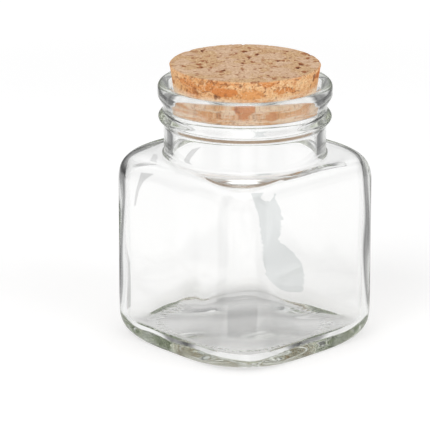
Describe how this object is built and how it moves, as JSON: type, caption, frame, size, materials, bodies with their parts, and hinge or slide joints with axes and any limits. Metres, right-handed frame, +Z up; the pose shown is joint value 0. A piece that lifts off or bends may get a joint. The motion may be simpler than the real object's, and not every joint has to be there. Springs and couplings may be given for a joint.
{
  "type": "glass jar with cork stopper",
  "caption": "Small square clear-glass storage jar with a round beaded mouth, closed by a tapered cork stopper that lifts out.",
  "frame": {"origin": "centre of the flat ring that the jar stands on", "axes": "+Z up along the axis of the neck and stopper; +X and +Y square to the flat sides"},
  "size_m": [0.05, 0.05, 0.07],
  "materials": {
    "clear_glass": "smooth, clear and glossy, with a faint grey-green tint in its thick parts",
    "cork": "pressed cork granules, matt, with small dark pits; the top greyer than the side"
  },
  "bodies": {
    "jar": {"glass_jar": "clear_glass"},
    "stopper": {"cork_stopper": "cork"}
  },
  "joints": [
    {"name": "stopper_lift", "type": "slide", "parent": "jar", "child": "stopper", "axis": [0, 0, 1], "range_m": [0, 0.03]}
  ]
}
